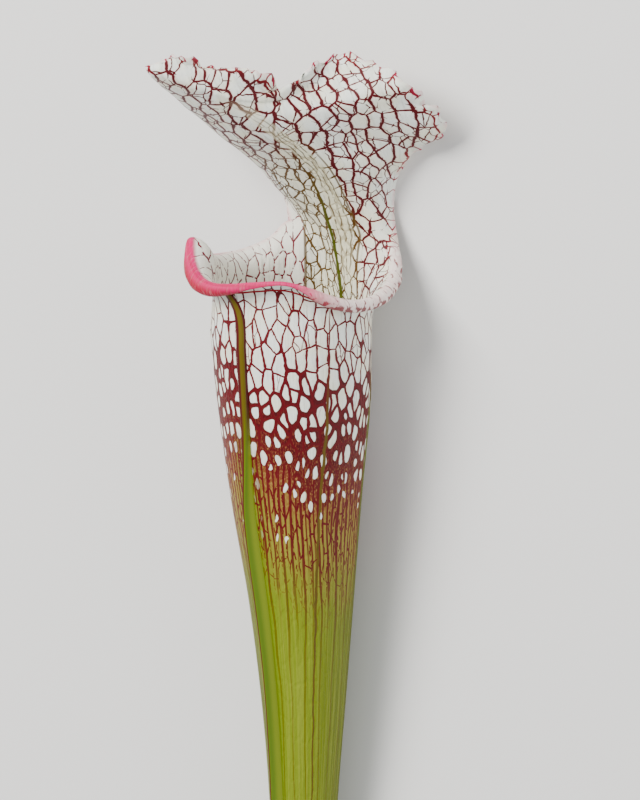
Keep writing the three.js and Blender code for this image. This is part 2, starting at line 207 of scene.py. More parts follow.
def bladeCurve(j):
    if j not in bladeCurves:
        across = j / shape.backColumns
        angle = columnAngle(j)
        points = [tubePoint(angle, shape.throatStart), crestPoint(angle)]
        points += [splineThrough(row)(across) for row in shape.hood]
        bladeCurves[j] = splineThrough(points + [shape.hoodTip])
    return bladeCurves[j]


# The blade at a column and a row of the hood's table, with the ruffle of its margins
def bladePoint(j, row):
    point = bladeCurve(j)((row + 1) / (len(shape.hood) + 2))
    across = 2 * j / shape.backColumns - 1
    tall = (shape.ruffleHeight * smooth(abs(across), shape.ruffleFrom, 1)
            * smooth(row, *shape.ruffleGrows) * (1 - smooth(row, *shape.ruffleDies)))
    phase = 2 * math.pi * shape.rufflePace * row + (0 if across > 0 else shape.ruffleLag)
    wave = math.sin(phase) + shape.ruffleSecond * math.sin(phase * shape.ruffleSecondPace + 1)
    return point + Vector(shape.ruffleAlong) * tall * wave


# The wall flaring up into the crest: step from 0 to 1
def throatPoint(j, t):
    angle = columnAngle(j)
    start, end = tubePoint(angle, shape.throatStart), crestPoint(angle)
    reach = (end - start).length
    climb = math.radians(shape.rimTop)
    level = outward(angle) * math.cos(climb) + Vector((0, math.sin(climb), 0))
    flared = outward(angle) * shape.cornerOut + Vector((0, shape.cornerUp, 0))
    if j <= shape.backColumns:
        across = abs(2 * j / shape.backColumns - 1)
        step = 1 / (len(shape.hood) + 2)
        tangent = (bladeCurve(j)(step * 1.02) - bladeCurve(j)(step * 0.98)).normalized()
        leave = tangent.lerp(flared, smooth(across, 0.5, 1)).normalized()
    else:
        beyond = min(abs(angle - shape.cornerFar), abs(angle - shape.cornerNear + 360))
        leave = flared.lerp(level, smooth(beyond, 0, shape.cornerSpan)).normalized()
    return (start * (1 + 2 * t) * (1 - t) ** 2 + Vector((0, reach, 0)) * t * (1 - t) ** 2
            + end * t * t * (3 - 2 * t) - leave * reach * t * t * (1 - t))


def layersOf(mesh, *names):
    return [mesh.verts.layers.float[name] for name in names]


# A grid whose corner (i, j) is put where place(i, j) says, in a dictionary by (i, j)
def placedGrid(mesh, columns, rows, place):
    made = bmesh.ops.create_grid(mesh, x_segments=columns, y_segments=rows, size=1)["verts"]
    grid = {}
    for vert in made:
        i, j = round((vert.co.x + 1) / 2 * columns), round((vert.co.y + 1) / 2 * rows)
        vert.co = place(i, j)
        grid[i, j] = vert
    return grid


# Angle from the back as mm round a tube of one reference radius, cut at the front under the wing
mapRadius = 24


def mapAround(angle):
    return math.radians(angle + 360 if angle < -180 else angle) * mapRadius


# The hood spread out flat, with its foot where the tube's map has it: a coarse net of springs
# settles until each is as near its length on the leaf as it can be
def flattenHood(place, start, stride=3, passes=400, softening=0.3):
    across, up = shape.backColumns // stride, shape.hoodRows // stride
    points, flat = (np.array([[at(i * stride, j * stride) for i in range(across + 1)]
                              for j in range(up + 1)]) for at in (place, start))
    index = np.arange((across + 1) * (up + 1)).reshape(up + 1, across + 1)
    pairs = np.concatenate([np.stack([a.ravel(), b.ravel()], 1) for a, b in (
        (index[:, 1:], index[:, :-1]), (index[1:], index[:-1]),
        (index[1:, 1:], index[:-1, :-1]), (index[1:, :-1], index[:-1, 1:]))])
    points, flat = points.reshape(-1, 3), flat.reshape(-1, 2)
    a, b = pairs.T
    length = np.linalg.norm(points[a] - points[b], axis=1)
    weight = 1 / (length ** 2 + softening)
    net = np.zeros((len(flat), len(flat)))
    for i, j, sign in ((a, a, 1), (b, b, 1), (a, b, -1), (b, a, -1)):
        np.add.at(net, (i, j), sign * weight)
    fixed = across + 1
    solve = np.linalg.inv(net[fixed:, fixed:])
    for _ in range(passes):
        reach = flat[a] - flat[b]
        pull = reach * (weight * length / np.maximum(np.linalg.norm(reach, axis=1), 1e-9))[:, None]
        load = np.zeros_like(flat)
        np.add.at(load, a, pull)
        np.add.at(load, b, -pull)
        flat[fixed:] = solve @ (load - net[:, :fixed] @ flat[:fixed])[fixed:]
    flat = flat.reshape(up + 1, across + 1, 2)

    def at(i, j):
        x, y = i / stride, j / stride
        c, r = min(int(x), across - 1), min(int(y), up - 1)
        s, t = x - c, y - r
        return Vector((flat[r, c] * (1 - s) + flat[r, c + 1] * s) * (1 - t)
                      + (flat[r + 1, c] * (1 - s) + flat[r + 1, c + 1] * s) * t)
    return at


def makeLeafSheet(mesh):
    back, front = shape.backColumns, shape.frontColumns
    columns = back + front
    low, high = shape.cutEnd, shape.throatStart
    caps, tubeRows, throatRows = shape.capRows, shape.tubeRows, shape.throatRows
    top = caps + tubeRows + throatRows

    def rowHeight(j):  # rows stand closer together towards the mouth
        return low + (high - low) * ((j - caps) / tubeRows) ** shape.rowCrowding

    def placeWall(i, j):
        if j < caps:
            rim = tubePoint(columnAngle(i), low)
            _, x, z = tubeAt(low)
            return Vector((x, low, z)).lerp(rim, j / caps)
        if j <= caps + tubeRows:
            return tubePoint(columnAngle(i), rowHeight(j))
        return throatPoint(i, (j - caps - tubeRows) / throatRows)

    wall = placedGrid(mesh, columns, top, placeWall)
    rows = shape.hoodRows

    def rowOf(j):
        return (len(shape.hood) + 1) * j / rows
    blade = placedGrid(mesh, back, rows, lambda i, j: bladePoint(i, rowOf(j)))

    # Where each point lies round and up the leaf, and when the leaf is spread out flat, in mm
    around, along, flatU, flatV, cut = layersOf(mesh, "around", "along", "flatU", "flatV", "cut")
    for (i, j), vert in wall.items():
        vert[around] = mapAround(columnAngle(i))
        if j <= caps + tubeRows:
            vert[along] = low if j < caps else rowHeight(j)
        else:
            below = wall[i, j - 1]
            vert[along] = below[along] + (vert.co - below.co).length
        vert[flatU], vert[flatV], vert[cut] = vert[around], vert[along], 1 - min(j / caps, 1)
    middle = back // 2
    for j in range(rows + 1):
        for side in (-1, 1):
            run, i = 0, middle
            while 0 <= i <= back:
                vert = blade[i, j]
                if i != middle:
                    run += (vert.co - blade[i - side, j].co).length
                mixed = smooth(rowOf(j), 0, 2)
                vert[around] = mapAround(columnAngle(i)) * (1 - mixed) + side * run * mixed
                i += side
    for i in range(back + 1):
        blade[i, 0][along] = wall[i, top][along]
        for j in range(1, rows + 1):
            blade[i, j][along] = blade[i, j - 1][along] + (blade[i, j].co - blade[i, j - 1].co).length
    spread = flattenHood(lambda i, j: blade[i, j].co,
                         lambda i, j: (blade[i, j][around], blade[i, j][along]))
    for (i, j), vert in blade.items():
        vert[flatU], vert[flatV] = spread(i, j)

    # The seam at the far corner, the foot of the blade, the middle of the cut, the point of the hood
    joins = {wall[columns, j]: wall[0, j] for j in range(top)}
    joins.update({wall[i, top]: blade[i, 0] for i in range(back + 1)})
    joins[wall[columns, top]] = blade[0, 0]
    joins.update({wall[i, 0]: wall[0, 0] for i in range(1, columns + 1)})
    joins.update({blade[i, rows]: blade[middle, rows] for i in range(back + 1) if i != middle})
    margin = [(wall[j, top], rimRollAt(columnAngle(j))) for j in range(back + 1, columns)]
    margin += [(blade[0, j], hoodRollAt(rowOf(j))) for j in range(rows)]
    margin.append((blade[middle, rows], hoodRollAt(rowOf(rows))))
    margin += [(blade[back, j], hoodRollAt(rowOf(j))) for j in range(rows - 1, -1, -1)]
    outside = wall[middle, caps + 1]  # a point whose outward side is known
    bmesh.ops.weld_verts(mesh, targetmap=joins)
    bmesh.ops.recalc_face_normals(mesh, faces=mesh.faces[:])
    mesh.normal_update()
    if outside.normal.dot(outward(0)) < 0:
        bmesh.ops.reverse_faces(mesh, faces=mesh.faces[:])
    mesh.normal_update()
    return margin


def evened(values, passes):
    for _ in range(passes):
        values = [(values[i - 1] + 2 * v + values[(i + 1) % len(values)]).normalized()
                  for i, v in enumerate(values)]
    return values


# Rolls the margin outward and back by extruding it again and again
def rollMargin(mesh, margin):
    flatU, flatV, marginLayer = layersOf(mesh, "flatU", "flatV", "margin")
    count = len(margin)
    ring = [vert for vert, _ in margin]
    normals = [vert.normal.copy() for vert in ring]
    away = [(ring[(i + 1) % count].co - ring[i - 1].co).normalized().cross(normals[i]).normalized()
            for i in range(count)]
    away, facing = evened(away, shape.evenings), evened(normals, shape.evenings)
    roots = [(vert.co.copy(), Vector((vert[flatU], vert[flatV]))) for vert in ring]
    drift = []
    for i in range(count):
        step = roots[(i + 1) % count][1] - roots[i - 1][1]
        if abs(step.x) > mapRadius * math.pi:
            step.x -= math.copysign(mapRadius * math.pi * 2, step.x)
        drift.append(Vector((step.y, -step.x, 0)).normalized())
    drift = evened(drift, shape.evenings // 8)
    edges = [mesh.edges.get((ring[i - 1], ring[i])) for i in range(count)]
    for k in range(1, shape.rollRows + 1):
        made = bmesh.ops.extrude_edge_only(mesh, edges=edges)["geom"]
        fresh = {g for g in made if isinstance(g, bmesh.types.BMVert)}
        ring = [next(e.other_vert(v) for e in v.link_edges if e.other_vert(v) in fresh) for v in ring]
        edges = [mesh.edges.get((ring[i - 1], ring[i])) for i in range(count)]
        for i, vert in enumerate(ring):
            radius, turn = margin[i][1]
            angle = math.radians(turn) * k / shape.rollRows
            root, flat = roots[i]
            vert.co = (root + away[i] * radius * math.sin(angle)
                       + facing[i] * radius * (1 - math.cos(angle)))
            vert[flatU], vert[flatV] = flat + drift[i].xy * radius * angle
            vert[marginLayer] = -radius * angle
    return away


# How far each point is from the margin along the mesh, and which place of it is nearest
def measureFromMargin(mesh, margin):
    layer, = layersOf(mesh, "margin")
    for vert in mesh.verts:
        if vert[layer] == 0:
            vert[layer] = shape.farthest
    nearest = {}
    queue = [(0.0, i, vert.index) for i, (vert, _) in enumerate(margin)]
    heapq.heapify(queue)
    mesh.verts.ensure_lookup_table()
    while queue:
        run, place, index = heapq.heappop(queue)
        vert = mesh.verts[index]
        if vert in nearest:
            continue
        nearest[vert] = place
        if vert[layer] > 0:
            vert[layer] = run
        for edge in vert.link_edges:
            other = edge.other_vert(vert)
            if other not in nearest and run < shape.farthest:
                heapq.heappush(queue, (run + edge.calc_length(), place, other.index))
    return nearest


# The fine crinkle of the hood's margins: it waves to both faces, and in and out
def crinkleMargins(mesh, nearest, away):
    layer, = layersOf(mesh, "margin")
    for vert, place in nearest.items():
        calm = shape.crinkleCalm * smooth(-vert.co.x, *shape.crinkleCalms)
        share = ((1 - smooth(vert[layer], 0, shape.crinkleWidth))
                 * smooth(vert.co.y, *shape.crinkleGrows) * (1 - calm))
        if share > 0:
            spot = vert.co.copy()
            wave = noise.noise(spot * 0.21) + 0.6 * noise.noise(spot * 0.5 + Vector((9, 0, 0)))
            bite = noise.noise(spot * 0.25 + Vector((0, 5, 0)))
            bite += 0.8 * noise.noise(spot * 0.55 + Vector((0, 0, 7)))
            vert.co += (vert.normal * wave * shape.crinkle * share
                        + away[place] * bite * shape.bite * share)


def makeLeaf():
    mesh = bmesh.new()
    for name in ("around", "along", "flatU", "flatV", "margin", "inside", "rib", "cut"):
        mesh.verts.layers.float.new(name)
    around, along, insideLayer, ribLayer = layersOf(mesh, "around", "along", "inside", "rib")
    margin = makeLeafSheet(mesh)
    away = rollMargin(mesh, margin)
    mesh.verts.index_update()
    nearest = measureFromMargin(mesh, margin)
    mesh.normal_update()
    crinkleMargins(mesh, nearest, away)
    mesh.normal_update()
    rib, far = {}, shape.farthest
    for vert in mesh.verts:
        mapped = vert[along] > shape.ribMapFrom
        vert[ribLayer] = max(min(vert[around], far), -far) if mapped else far
        up = smooth(vert[along], *shape.ribRises) * (1 - smooth(vert[along], *shape.ribFades))
        near = abs(vert[around]) < shape.ribEnds
        rib[vert] = up * math.exp(-(vert[around] / shape.ribWidth) ** 2) if near else 0
    outer = mesh.verts[:]
    normals = {vert: vert.normal.copy() for vert in outer}
    edges = [edge for edge in mesh.edges if edge.is_boundary]
    copied = bmesh.ops.duplicate(mesh, geom=outer + mesh.edges[:] + mesh.faces[:])
    inner, twins = copied["vert_map"], copied["edge_map"]
    bmesh.ops.reverse_faces(mesh, faces=[g for g in copied["geom"] if isinstance(g, bmesh.types.BMFace)])
    bmesh.ops.bridge_loops(mesh, edges=edges + [twins[edge] for edge in edges])
    half = shape.wall / 2
    for vert in outer:
        twin = inner[vert]
        twin[insideLayer] = 1
        twin.co -= normals[vert] * (half + shape.ribInside * rib[vert])
        vert.co += normals[vert] * (half + shape.ribOutside * rib[vert])
    bmesh.ops.transform(mesh, matrix=layMatrix, verts=mesh.verts[:])
    for vert in mesh.verts:  # the crinkle is pressed flat where the leaf lies on it
        vert.co.z = max(vert.co.z, 0) + shape.pressed * min(vert.co.z, 0)
    writeMap(mesh, "flatU", "flatV")
    return finishPiece("leafBlade", mesh)


# The flat map, in mm; faces over the cut at the front take the far side's numbers
def writeMap(mesh, *names):
    uv = mesh.loops.layers.uv.new("leafMap")
    around, along = layersOf(mesh, *names)
    half = math.pi * mapRadius
    for face in mesh.faces:
        face.smooth = True
        values = [loop.vert[around] for loop in face.loops]
        wraps = max(values) - min(values) > half
        for loop, u in zip(face.loops, values):
            loop[uv].uv = (u + 2 * half if wraps and u < 0 else u, loop.vert[along])


def placeObject(name, data):
    placed = bpy.data.objects.new(name, data)
    bpy.context.collection.objects.link(placed)
    return placed


def placeMesh(name, mesh):
    data = bpy.data.meshes.new(name)
    mesh.to_mesh(data)
    mesh.free()
    return placeObject(name, data)


def finishPiece(name, mesh):
    piece = placeMesh(name, mesh)
    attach(piece, "root")
    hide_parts("pitcher_leaf")
    print(name, len(piece.data.polygons), "faces")
    return piece


# The wing: a narrow blade down the front of the tube, its root sunk into the wall
wingShape = {
    # height, how far its edge stands out of the tube, half its thickness at the root, at the edge
    "stand": [
        (-378, -0.6, 0.5, 0.2), (-366, 0.5, 0.9, 0.35), (-350, 2.0, 1.2, 0.4), (-290, 3.4, 1.6, 0.4),
        (-180, 3.8, 2.1, 0.4), (-90, 4.2, 2.5, 0.42), (-60, 3.7, 2.3, 0.5), (-40, 2.2, 1.9, 0.85),
        (-22, 1.5, 1.95, 1.4), (0, 1.2, 2.0, 1.5), (10.5, 0.9, 1.9, 1.4),
    ],
    # how deep its root is sunk, how its edge waves, how fast it thins and how blunt its section is
    "sink": 0.3, "wave": 0.5, "wavePace": 0.022, "thinning": 2.2, "blunt": 0.5,
    "rows": 180, "section": 20,
    # height, angle round the tube
    "path": [
        (-378, 180), (-60, 180), (-46, 178.5), (-30, 176.5), (-16, 175.5), (-4, 175), (4, 178), (11, 187),
    ],
}
wingAngleAt = through(wingShape["path"])


# The middle of the front wall at a height, also where it flares under the rim
def frontWallPoint(angle, height):
    if height <= shape.throatStart:
        return tubePoint(angle, height)
    far, near = shape.cornerFar, shape.cornerNear
    column = shape.backColumns + shape.frontColumns * (angle - near) / (far - near + 360)
    low, high = 0, 1
    for _ in range(16):
        middle = (low + high) / 2
        if throatPoint(column, middle).y < height:
            low = middle
        else:
            high = middle
    return throatPoint(column, low)


def makeWing():
    mesh = bmesh.new()
    turnLayer, along = (mesh.verts.layers.float.new(name) for name in ("turn", "along"))
    standAt = through(wingShape["stand"])
    low, high = wingShape["stand"][0][0], wingShape["stand"][-1][0]
    rows, section, sink = wingShape["rows"], wingShape["section"], wingShape["sink"]

    def heightOf(j):
        return low + (high - low) * min(max(j - 1, 0), rows - 2) / (rows - 2)

    def place(i, j):
        height = heightOf(j)
        stand, root, edge = standAt(height)
        turn = 2 * math.pi * i / section
        share = (1 - math.cos(turn)) / 2  # 0 at the root, 1 at the free edge
        across = math.sin(turn)
        blunt = math.copysign(abs(across) ** wingShape["blunt"], across) if 0 < j < rows else 0
        thick = (edge + (root - edge) * (1 - share) ** wingShape["thinning"]) * blunt
        reach = share * (stand + shape.wall / 2 + sink) - sink if 0 < j < rows else 0
        wave = noise.noise(Vector((height * wingShape["wavePace"], 3, 0)))
        wave = wingShape["wave"] * wave * share * min(stand / 3, 1)
        angle = wingAngleAt(height)[0]
        return (frontWallPoint(angle, height) + outward(angle) * reach
                + outward(angle + 90) * (thick + wave))

    grid = placedGrid(mesh, section, rows, place)
    for (i, j), vert in grid.items():
        vert[turnLayer] = 2 * math.pi * mapRadius * i / section
        vert[along] = heightOf(j)
    joins = {grid[section, j]: grid[0, j] for j in range(1, rows)}
    for j in (0, rows):
        joins.update({grid[i, j]: grid[0, j] for i in range(1, section + 1)})
    bmesh.ops.weld_verts(mesh, targetmap=joins)
    bmesh.ops.recalc_face_normals(mesh, faces=mesh.faces[:])
    bmesh.ops.transform(mesh, matrix=layMatrix, verts=mesh.verts[:])
    writeMap(mesh, "turn", "along")
    return finishPiece("wing", mesh)


# Short white hairs on the back of the hood
hairShape = {
    "count": 1900, "length": (0.8, 2.1), "root": 0.05, "tip": 0.008,
    "middle": 0.46,  # share of its length from the blade to its middle: the root is sunk
    "lean": 0.6, "upLean": 0.5, "from": 30, "seed": 7,
}


def makeHairs(leaf):
    data = leaf.data
    along, inside = data.attributes["along"].data, data.attributes["inside"].data
    faces, areas = [], []
    for face in data.polygons:
        first = face.vertices[0]
        if inside[first].value < 0.5 and along[first].value > hairShape["from"]:
            faces.append(face)
            areas.append(face.area)
    rand = random.Random(hairShape["seed"])
    up = layMatrix.to_3x3().normalized() @ Vector((0, 1, 0))
    mesh = bmesh.new()
    for face in rand.choices(faces, areas, k=hairShape["count"]):
        corners = [data.vertices[i].co for i in face.vertices]
        share, other = rand.random(), rand.random()
        root = corners[0].lerp(corners[1], share).lerp(corners[-1].lerp(corners[-2], share), other)
        scatter = Vector([rand.uniform(-1, 1) for _ in range(3)])
        lean = (up * hairShape["upLean"] + scatter) * hairShape["lean"] * rand.random()
        way = (face.normal + lean).normalized()
        length = rand.uniform(*hairShape["length"]) * mm
        turn = way.to_track_quat("Z", "Y").to_matrix().to_4x4()
        spot = Matrix.Translation(root + way * length * hairShape["middle"])
        bmesh.ops.create_cone(mesh, cap_ends=True, cap_tris=True, segments=3, depth=length,
                              radius1=hairShape["root"] * mm, radius2=hairShape["tip"] * mm,
                              matrix=spot @ turn)
    return finishPiece("hairs", mesh)


# Shader nodes. This adds one to the tree in hand, with its settings and what its inputs are fed
inHand = {}


def feed(socket, value):
    if isinstance(value, bpy.types.NodeSocket):
        inHand["tree"].links.new(value, socket)
    else:
        socket.default_value = value


def addNode(kind, fed, **settings):
    node = inHand["tree"].nodes.new("ShaderNode" + kind)
    for name, value in settings.items():
        setattr(node, name, value)
    for key, value in fed.items():
        feed(node.inputs[key], value)
    return node.outputs


def calc(operation, *values):
    return addNode("Math", dict(enumerate(values)), operation=operation)[0]


def vectorCalc(operation, *values):
    return addNode("VectorMath", dict(enumerate(values)), operation=operation)[0]


def minus(first, second):
    return calc("SUBTRACT", first, second)


def scaled(value, times, plus):
    return calc("MULTIPLY_ADD", value, times, plus)


# Goes smoothly from start to end as value goes from low to high
def fade(value, low, high, start=0, end=1):
    fed = {"Value": value, "From Min": low, "From Max": high, "To Min": start, "To Max": end}
    return addNode("MapRange", fed, interpolation_type="SMOOTHSTEP")["Result"]


def blend(share, first, second):
    return addNode("Mix", {0: share, 6: first, 7: second}, data_type="RGBA")[2]


def blendVector(share, first, second):
    return addNode("Mix", {0: share, 4: first, 5: second}, data_type="VECTOR")[1]


def combine(x, y, z=0):
    return addNode("CombineXYZ", {0: x, 1: y, 2: z})[0]


def grain(place, scale, detail=2, output="Fac"):
    return addNode("TexNoise", {"Vector": place, "Scale": scale, "Detail": detail})[output]


# Grain that is drawn out, with its own scale across and up the leaf
def drawnOut(place, across, up, detail=2):
    return grain(vectorCalc("MULTIPLY", place, (across, up, 0)), 1, detail)


def both(*masks):
    return reduce(lambda first, second: calc("MULTIPLY", first, second), masks)


def either(*masks):
    return reduce(lambda first, second: calc("MAXIMUM", first, second), masks)


def without(mask):
    return minus(1, mask)


# 1 on a vein and 0 beside it, for half its width in mm
def line(distance, half):
    return fade(calc("DIVIDE", distance, half), 0.75, 1.3, 1.0, 0.0)


# The same where the vein runs along one value of the map
def lineAt(value, middle, half):
    return line(calc("ABSOLUTE", minus(value, middle)), half)


def sRgb(red, green, blue):  # a colour as an image editor shows it, 0 to 255
    parts = [((c / 255 + 0.055) / 1.055) ** 2.4 if c > 10 else c / 3300 for c in (red, green, blue)]
    return (*parts, 1)


# Veins that close round cells: the distance to the nearest vein in mm, a number for each cell, the
# distance to the cell's centre in cells, and 1 where the vein runs up the leaf, 0 where it runs
# across. Edge is the distance before its mending: it has no steps inside a cell
netGiven = ("Place", "Cell Width", "Cell Height", "Wander", "Wander Scale")
netResults = ("Distance", "Cell", "Centre", "Upright", "Edge")
netShape = {
    "wanderDetail": 2.5, "randomness": 0.92,
    "step": 0.03,  # the distance's slope is measured over this many mm
    "leastSlope": 0.04,
}


def makeVeinNet():
    group = bpy.data.node_groups.new("veinNet", "ShaderNodeTree")
    inHand["tree"] = group
    for name in netGiven:
        kind = "NodeSocketVector" if name == "Place" else "NodeSocketFloat"
        group.interface.new_socket(name, in_out="INPUT", socket_type=kind)
    for name in netResults:
        group.interface.new_socket(name, in_out="OUTPUT", socket_type="NodeSocketFloat")
    given = group.nodes.new("NodeGroupInput").outputs
    result = group.nodes.new("NodeGroupOutput").inputs
    stray = grain(given["Place"], given["Wander Scale"], netShape["wanderDetail"], "Color")
    wander = calc("MULTIPLY", given["Wander"], 2)
    push = vectorCalc("MULTIPLY", vectorCalc("SUBTRACT", stray, (0.5, 0.5, 0.5)), combine(wander, wander))
    place = vectorCalc("ADD", given["Place"], push)
    cells = combine(given["Cell Width"], given["Cell Height"], 1)

    def voronoi(where, feature):
        fed = {"Vector": vectorCalc("DIVIDE", where, cells), "Scale": 1, "Randomness": netShape["randomness"]}
        return addNode("TexVoronoi", fed, voronoi_dimensions="2D", feature=feature)

    # The slope of the distance turns cell units into mm, across and up alike
    step = netShape["step"]
    here = voronoi(place, "DISTANCE_TO_EDGE")["Distance"]
    slopes = []
    for offset in ((step, 0, 0), (0, step, 0)):
        there = voronoi(vectorCalc("ADD", place, offset), "DISTANCE_TO_EDGE")["Distance"]
        slope = calc("DIVIDE", minus(there, here), step)
        slopes.append(calc("MULTIPLY", slope, slope))
    squares = calc("ADD", *slopes)
    steep = calc("MAXIMUM", calc("SQRT", squares), netShape["leastSlope"])
    nearest = voronoi(place, "F1")
    feed(result["Distance"], calc("DIVIDE", here, steep))
    feed(result["Cell"], addNode("SeparateColor", {0: nearest["Color"]})[0])
    feed(result["Centre"], nearest["Distance"])
    feed(result["Upright"], calc("DIVIDE", slopes[0], squares))
    feed(result["Edge"], calc("MULTIPLY", here, given["Cell Width"]))
    return group


veinNet = makeVeinNet()


def placeNet(*values):
    given = addNode("Group", dict(zip(netGiven, values)), node_tree=veinNet)
    return [given[name] for name in netResults]


def startMaterial(name):
    material = bpy.data.materials.new(name)
    material.use_nodes = True
    inHand["tree"] = material.node_tree
    skin = material.node_tree.nodes["Principled BSDF"].inputs
    feed(skin["Specular IOR Level"], 0.2)
    return material, skin


def readMap():
    place = addNode("UVMap", {}, uv_map="leafMap")[0]
    split = addNode("SeparateXYZ", {0: place})
    return place, split[0], split[1]


def readLayer(name):
    return addNode("Attribute", {}, attribute_name=name)["Fac"]


leafLooks = {
    "areole": (236, 240, 232), "areoleWarm": (238, 236, 214), "neck": (232, 229, 200),
    "hoodVein": (78, 0, 10), "marginVein": (116, 0, 18), "oliveVein": (86, 60, 16),
    "halo": (226, 150, 144), "midribGreen": (72, 78, 8), "foldCream": (232, 226, 190),
    "throatWall": (242, 240, 228), "throatVein": (106, 0, 32), "tubeVein": (94, 0, 12),
    "tubeGround": (78, 0, 10), "rust": (132, 58, 36), "tan": (158, 124, 66),
    "olive": (142, 130, 46), "archVein": (138, 0, 20), "yellowGreen": (114, 130, 12),
    # darkOlive also stands as painted shade on the tube's green flank
    "darkOlive": (88, 96, 2), "paleGreen": (140, 150, 44), "brownVein": (88, 70, 0),
    # rimDeep also stands as painted shade under the rolled rim and in its crease
    "broadVein": (92, 72, 8), "rimPink": (210, 30, 104), "rimDeep": (164, 0, 46),
    "rimPale": (244, 228, 220), "wingGreen": (104, 126, 4), "cutFace": (218, 222, 172),
    "innerGreen": (196, 204, 130),
}
tone = SimpleNamespace(**{name: sRgb(*color) for name, color in leafLooks.items()})

# Sizes and places of the markings, in mm of the flat map
leafMarks = {
    # pairs: on the tube, on the hood
    "cellWidth": (3.3, 2.9), "cellHeight": (6.2, 5.1), "veinHalf": (0.2, 0.19),
    "thinCellWidth": (2.3, 2.5), "thinCellHeight": (8, 4.2), "thinHalf": (0.13, 0.14),
    "wholeFrom": (0.86, 0.74),  # thin veins run right through the cells with a number above this
    "spurReach": (1.1, 2),  # how far into the other cells they reach as spurs
    "mouthStouter": (1.3, 1),  # veins below the mouth are stouter by this factor
    "wander": (0.9, 0.2),  # how far the main veins stray, and how fast that changes
    "thinWander": (0.7, 0.35),
    "upStouter": 0.07, "meetingStouter": 0.12, "marginThinner": 0.45,
    "fanFoot": 22,  # the hood's veins fan out from this far below its foot
    "columnSides": (-13.2, 26),  # how far round from the midrib the column's markings reach
    "sideVeins": (-13.2, 7.4),  # the long veins beside the midrib
    "archAt": 4.3,  # the crease in the pink rim, where a deeper red line is painted as its shade
    "creaseAt": -1.3,  # the crease in the pink rim
    "longSpacing": 7.4, "raySpacing": 3.2,
    "broadVeins": (24, 46.6),  # the two broad veins on the right flank, from the back
    # heights on the tube between which its ground takes each colour
    "rust": (-34, -56), "tan": (-26, -50), "olive": (-42, -62), "green": (-58, -90),
    # relief
    "domeTall": 0.1, "grainTall": 0.08, "stripeTall": 0.3, "streakTall": 0.25, "pleatTall": 0.5,
    "foldDeep": -0.2,
}
marks = SimpleNamespace(**leafMarks)


# What the leaf's markings go by at each point
def readLeaf():
    at = SimpleNamespace()
    at.place, at.u, at.v = readMap()
    at.along, at.rib, at.margin, at.inside, at.cut = (
        readLayer(name) for name in ("along", "rib", "margin", "inside", "cut"))
    at.fromRib = calc("ABSOLUTE", at.rib)
    at.slow, at.medium, at.fine = grain(at.place, 0.12), grain(at.place, 0.45, 1), grain(at.place, 1.8)
    at.stripes = drawnOut(at.place, 0.8, 0.02, 3)
    at.uneven = scaled(at.medium, 1, 0.5)

    # The hood's markings begin above the mouth, on the column only
    far, near = marks.columnSides
    beyond = either(calc("LESS_THAN", at.rib, far), calc("GREATER_THAN", at.rib, near))
    beyond = both(beyond, calc("LESS_THAN", at.along, 30))
    reach = scaled(at.medium, 4, scaled(at.fromRib, -0.5, at.along))
    at.hood = both(calc("GREATER_THAN", reach, -4), without(beyond))
    at.offHood = without(at.hood)
    return at


# A mark that has one size on the tube and another on the hood
def forZone(at, name):
    onTube, onHood = leafMarks[name]
    return scaled(at.hood, onHood - onTube, onTube)


# Two nets of veins; on the hood they fan out from a point below its foot
def placeNets(at):
    rise = calc("ADD", at.v, marks.fanFoot)
    away = calc("SQRT", scaled(at.u, at.u, calc("MULTIPLY", rise, rise)))
    spread = calc("MULTIPLY", calc("ARCTAN2", at.u, rise), scaled(away, 0.4, 18))
    at.fanned = blendVector(at.hood, at.place, combine(spread, away))
    at.first, at.cell, at.centre, at.upright, at.cellEdge = placeNet(
        at.fanned, forZone(at, "cellWidth"), forZone(at, "cellHeight"), *marks.wander)
    at.second = placeNet(
        at.fanned, forZone(at, "thinCellWidth"), forZone(at, "thinCellHeight"), *marks.thinWander)[0]


# Veins: stouter where they run up the leaf and where they meet; thin ones run right through some
# cells and end as spurs in others
def drawVeins(at):
    meeting = scaled(fade(at.centre, 0.5, 0.85), marks.meetingStouter, forZone(at, "veinHalf"))
    stout = scaled(at.upright, marks.upStouter, meeting)
    nearTip = both(fade(at.rib, -6, -14), fade(at.along, 44, 60))
    at.stout = both(stout, at.uneven, fade(at.margin, 4, -0.5, 1, marks.marginThinner),
                    fade(at.u, -40, -66, 1, 1.2), fade(nearTip, 0, 1, 1, 1.45),
                    fade(at.v, 2, -14, 1, forZone(at, "mouthStouter")))
    at.mainVein = line(at.first, at.stout)
    whole = calc("GREATER_THAN", at.cell, forZone(at, "wholeFrom"))
    spurEnd = scaled(whole, 9, scaled(at.cell, -1.8, forZone(at, "spurReach")))
    taper = fade(at.first, spurEnd, minus(spurEnd, 0.9), 0.02, 1)
    at.thinVein = line(at.second, both(taper, at.uneven, forZone(at, "thinHalf")))
    at.net = either(at.mainVein, at.thinVein)
    at.halo = both(fade(calc("DIVIDE", at.first, at.stout), 2.2, 1), 0.42)


# The pale tissue between the veins, with faint olive streaks painted as the shade of its fine furrows
def colorPale(at):
    color = blend(fade(at.slow, 0.35, 0.7), tone.areole, tone.areoleWarm)
    neck = both(fade(at.fromRib, 16, 4), fade(at.along, 70, 20), 0.7)
    at.streaks = drawnOut(at.fanned, 1.5, 0.12)
    streakShade = both(fade(at.streaks, 0.48, 0.7), 0.16)
    return blend(streakShade, blend(neck, color, tone.neck), tone.oliveVein)
